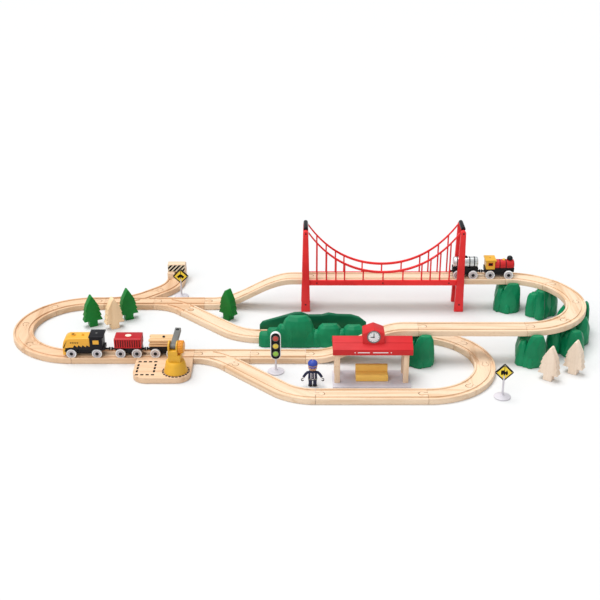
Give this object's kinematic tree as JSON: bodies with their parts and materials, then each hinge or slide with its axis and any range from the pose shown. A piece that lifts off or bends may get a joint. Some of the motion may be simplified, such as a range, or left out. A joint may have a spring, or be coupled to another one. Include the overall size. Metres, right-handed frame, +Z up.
{
  "type": "wooden train set",
  "caption": "Wooden railway layout with loops, switches, ramps, suspension bridge, rocks, station, crane, signs, trees and rolling trains.",
  "frame": {"origin": "on the floor, under the middle of the whole layout's box", "axes": "+X along the layout towards the raised loop, +Y away from the front, +Z up"},
  "size_m": [1.1743, 0.578, 0.19],
  "materials": {
    "beech": "clear satin lacquer on pale beech",
    "red_paint": "satin red paint on wood",
    "green_plastic": "semi-gloss moulded dark green",
    "green_paint": "satin green paint on wood",
    "pale_wood": "bare light wood, matt",
    "black_plastic": "satin black",
    "amber_plastic": "semi-gloss amber yellow",
    "wheel_plastic": "pale grey wheels with dark hubs",
    "navy_plastic": "satin navy",
    "white_plastic": "satin white",
    "grey_plastic": "satin mid grey",
    "silver_paint": "silver paint on wood"
  },
  "bodies": {
    "layout": {"bridge_tower_east": "red_paint", "bridge_tower_west": "red_paint", "bridge_truss_front": "red_paint", "bridge_truss_rear": "red_paint", "buffer_stop": "beech", "crane_board": "beech", "figure_body": "navy_plastic", "pillar_back": "green_plastic", "pillar_front": "green_plastic", "pillar_loop_back": "green_plastic", "pillar_loop_end": "green_plastic", "pillar_loop_front": "green_plastic", "pillar_west": "green_plastic", "road_sign_east": "white_plastic", "road_sign_west": "white_plastic", "rock_wall_front": "green_plastic", "rock_wall_rear": "green_plastic", "station_base": "beech", "station_bench": "amber_plastic", "station_roof": "red_paint", "track_back_branch": "beech", "track_bridge_deck": "beech", "track_cutting": "beech", "track_front_branch": "beech", "track_high_front": "beech", "track_high_loop": "beech", "track_mid_short": "beech", "track_ramp_front": "beech", "track_ramp_rear": "beech", "track_spur_curve": "beech", "track_station_loop": "beech", "track_switch_back": "beech", "track_switch_front": "beech", "track_switch_spur": "beech", "track_west_loop": "beech", "traffic_light": "black_plastic", "tree_green_east": "green_paint", "tree_green_middle": "green_paint", "tree_green_west": "green_paint", "tree_natural_east": "pale_wood", "tree_natural_south": "pale_wood", "tree_natural_west": "pale_wood"},
    "diesel": {"diesel": "amber_plastic"},
    "diesel_wheels_west": {"diesel_wheels_west": "wheel_plastic"},
    "diesel_wheels_east": {"diesel_wheels_east": "wheel_plastic"},
    "container_wagon": {"container_wagon": "red_paint"},
    "container_wagon_wheels_west": {"container_wagon_wheels_west": "wheel_plastic"},
    "container_wagon_wheels_east": {"container_wagon_wheels_east": "wheel_plastic"},
    "log_wagon": {"log_wagon": "beech"},
    "log_wagon_wheels_west": {"log_wagon_wheels_west": "wheel_plastic"},
    "log_wagon_wheels_east": {"log_wagon_wheels_east": "wheel_plastic"},
    "tank_wagon": {"tank_wagon": "silver_paint"},
    "tank_wagon_wheels_west": {"tank_wagon_wheels_west": "wheel_plastic"},
    "tank_wagon_wheels_east": {"tank_wagon_wheels_east": "wheel_plastic"},
    "steam_loco": {"steam_loco": "red_paint"},
    "steam_loco_wheels_west": {"steam_loco_wheels_west": "wheel_plastic"},
    "steam_loco_wheels_east": {"steam_loco_wheels_east": "wheel_plastic"},
    "crane_tower": {"crane_tower": "amber_plastic"},
    "crane_boom": {"crane_boom": "grey_plastic"},
    "figure_head": {"figure_head": "navy_plastic"}
  },
  "joints": [
    {"name": "diesel_run", "type": "slide", "parent": "layout", "child": "diesel", "axis": [1, 0, 0], "range_m": [0, 0.2]},
    {"name": "diesel_wheels_west_roll", "type": "hinge", "parent": "diesel", "child": "diesel_wheels_west", "pos_m": [-0.4452, -0.1134, 0.019], "axis": [0, 1, 0], "range_deg": [-5, 1197]},
    {"name": "diesel_wheels_east_roll", "type": "hinge", "parent": "diesel", "child": "diesel_wheels_east", "pos_m": [-0.3957, -0.1134, 0.019], "axis": [0, 1, 0], "range_deg": [-5, 1197]},
    {"name": "container_wagon_run", "type": "slide", "parent": "layout", "child": "container_wagon", "axis": [1, 0, 0], "range_m": [0, 0.2]},
    {"name": "container_wagon_wheels_west_roll", "type": "hinge", "parent": "container_wagon", "child": "container_wagon_wheels_west", "pos_m": [-0.3502, -0.1134, 0.019], "axis": [0, 1, 0], "range_deg": [-5, 1197]},
    {"name": "container_wagon_wheels_east_roll", "type": "hinge", "parent": "container_wagon", "child": "container_wagon_wheels_east", "pos_m": [-0.3186, -0.1134, 0.019], "axis": [0, 1, 0], "range_deg": [-5, 1197]},
    {"name": "log_wagon_run", "type": "slide", "parent": "layout", "child": "log_wagon", "axis": [1, 0, 0], "range_m": [0, 0.2]},
    {"name": "log_wagon_wheels_west_roll", "type": "hinge", "parent": "log_wagon", "child": "log_wagon_wheels_west", "pos_m": [-0.2829, -0.1134, 0.019], "axis": [0, 1, 0], "range_deg": [-5, 1197]},
    {"name": "log_wagon_wheels_east_roll", "type": "hinge", "parent": "log_wagon", "child": "log_wagon_wheels_east", "pos_m": [-0.2519, -0.1134, 0.019], "axis": [0, 1, 0], "range_deg": [-5, 1197]},
    {"name": "tank_wagon_run", "type": "slide", "parent": "layout", "child": "tank_wagon", "axis": [1, 0, 0], "range_m": [-0.29, 0]},
    {"name": "tank_wagon_wheels_west_roll", "type": "hinge", "parent": "tank_wagon", "child": "tank_wagon_wheels_west", "pos_m": [0.3306, 0.1296, 0.0784], "axis": [0, 1, 0], "range_deg": [-1728, 5]},
    {"name": "tank_wagon_wheels_east_roll", "type": "hinge", "parent": "tank_wagon", "child": "tank_wagon_wheels_east", "pos_m": [0.3626, 0.1296, 0.0784], "axis": [0, 1, 0], "range_deg": [-1728, 5]},
    {"name": "steam_loco_run", "type": "slide", "parent": "layout", "child": "steam_loco", "axis": [1, 0, 0], "range_m": [-0.29, 0]},
    {"name": "steam_loco_wheels_west_roll", "type": "hinge", "parent": "steam_loco", "child": "steam_loco_wheels_west", "pos_m": [0.3988, 0.1296, 0.0784], "axis": [0, 1, 0], "range_deg": [-1728, 5]},
    {"name": "steam_loco_wheels_east_roll", "type": "hinge", "parent": "steam_loco", "child": "steam_loco_wheels_east", "pos_m": [0.4378, 0.1296, 0.0784], "axis": [0, 1, 0], "range_deg": [-1728, 5]},
    {"name": "crane_swivel", "type": "hinge", "parent": "layout", "child": "crane_tower", "pos_m": [-0.2376, -0.184, 0.0123], "axis": [0, 0, 1], "continuous": true},
    {"name": "crane_boom_lift", "type": "hinge", "parent": "crane_tower", "child": "crane_boom", "pos_m": [-0.2376, -0.184, 0.0642], "axis": [0.9962, -0.0872, 0], "range_deg": [0, 60]},
    {"name": "figure_head_turn", "type": "hinge", "parent": "layout", "child": "figure_head", "pos_m": [0.0203, -0.2185, 0.033], "axis": [0, 0, 1], "range_deg": [-90, 90]}
  ],
  "couplings": [
    {"joint": "diesel_wheels_west_roll", "follows": "diesel_run", "rad_per_m": 103.09},
    {"joint": "diesel_wheels_east_roll", "follows": "diesel_run", "rad_per_m": 103.09},
    {"joint": "container_wagon_run", "follows": "diesel_run", "ratio": 1},
    {"joint": "container_wagon_wheels_west_roll", "follows": "diesel_run", "rad_per_m": 103.09},
    {"joint": "container_wagon_wheels_east_roll", "follows": "diesel_run", "rad_per_m": 103.09},
    {"joint": "log_wagon_run", "follows": "diesel_run", "ratio": 1},
    {"joint": "log_wagon_wheels_west_roll", "follows": "diesel_run", "rad_per_m": 103.09},
    {"joint": "log_wagon_wheels_east_roll", "follows": "diesel_run", "rad_per_m": 103.09},
    {"joint": "tank_wagon_run", "follows": "steam_loco_run", "ratio": 1},
    {"joint": "tank_wagon_wheels_west_roll", "follows": "steam_loco_run", "rad_per_m": 103.09},
    {"joint": "tank_wagon_wheels_east_roll", "follows": "steam_loco_run", "rad_per_m": 103.09},
    {"joint": "steam_loco_wheels_west_roll", "follows": "steam_loco_run", "rad_per_m": 103.09},
    {"joint": "steam_loco_wheels_east_roll", "follows": "steam_loco_run", "rad_per_m": 103.09}
  ]
}
